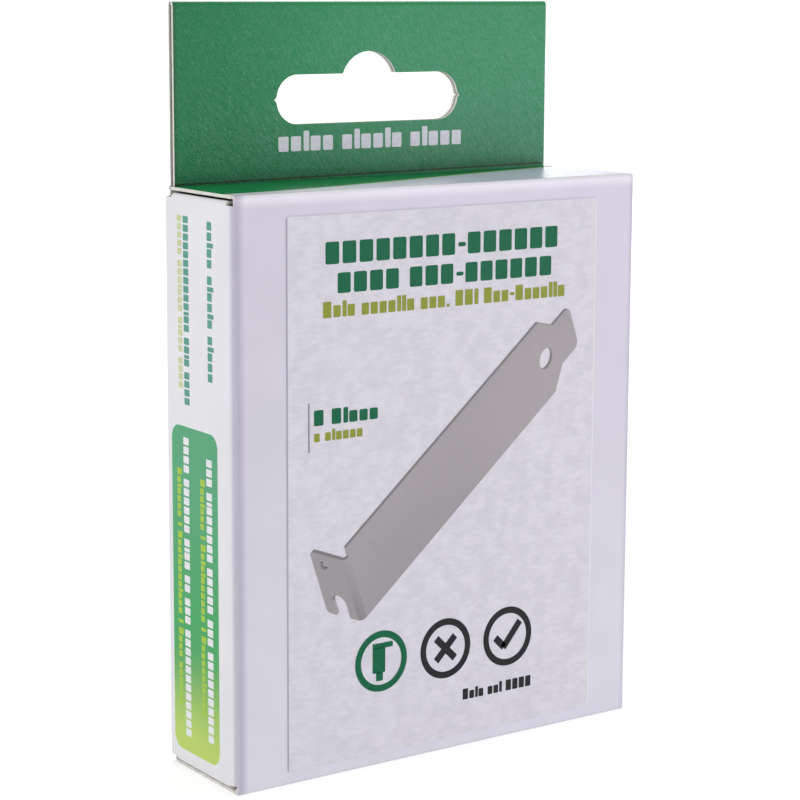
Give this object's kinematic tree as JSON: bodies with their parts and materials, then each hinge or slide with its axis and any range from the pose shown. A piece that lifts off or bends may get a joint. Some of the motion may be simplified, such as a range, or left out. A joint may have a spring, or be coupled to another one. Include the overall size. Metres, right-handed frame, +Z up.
{
  "type": "hanging retail carton",
  "caption": "Slim tuck-end hanging carton of folding board with a double header, a euro hang hole and a stuck-on label, holding bent steel slot covers.",
  "frame": {"origin": "on the floor under the middle of the whole part's box", "axes": "+X to the right as seen from the front, +Y to the back, +Z up towards the header"},
  "size_m": [0.0706, 0.0186, 0.1087],
  "materials": {
    "board_white": "white clay-coated folding board, satin",
    "board_green": "folding board with a printed green face, satin",
    "label_paper": "uncoated self-adhesive paper, matt",
    "cover_steel": "nickel-plated sheet steel, satin"
  },
  "bodies": {
    "box": {"carton": "board_white", "front_label": "label_paper", "slot_cover_1": "cover_steel", "slot_cover_2": "cover_steel", "slot_cover_3": "cover_steel", "slot_cover_4": "cover_steel", "slot_cover_5": "cover_steel", "slot_cover_6": "cover_steel"},
    "lid": {"top_flap": "board_green"},
    "lid_tongue": {"top_tongue": "board_green"},
    "base_flap": {"bottom_flap": "board_white"},
    "base_tongue": {"bottom_tongue": "board_white"}
  },
  "joints": [
    {"name": "top_flap_hinge", "type": "hinge", "parent": "box", "child": "lid", "pos_m": [0, -0.0088, 0.08285], "axis": [1, 0, 0], "range_deg": [0, 140]},
    {"name": "top_tongue_crease", "type": "hinge", "parent": "lid", "child": "lid_tongue", "pos_m": [0, 0.00755, 0.08285], "axis": [1, 0, 0], "range_deg": [-80.5, 0]},
    {"name": "bottom_flap_hinge", "type": "hinge", "parent": "box", "child": "base_flap", "pos_m": [0, -0.0088, 0.00045], "axis": [-1, 0, 0], "range_deg": [0, 140]},
    {"name": "bottom_tongue_crease", "type": "hinge", "parent": "base_flap", "child": "base_tongue", "pos_m": [0, 0.00755, 0.00045], "axis": [-1, 0, 0], "range_deg": [-80.5, 0]}
  ],
  "couplings": [
    {"joint": "top_tongue_crease", "follows": "top_flap_hinge", "ratio": -0.575},
    {"joint": "bottom_tongue_crease", "follows": "bottom_flap_hinge", "ratio": -0.575}
  ]
}
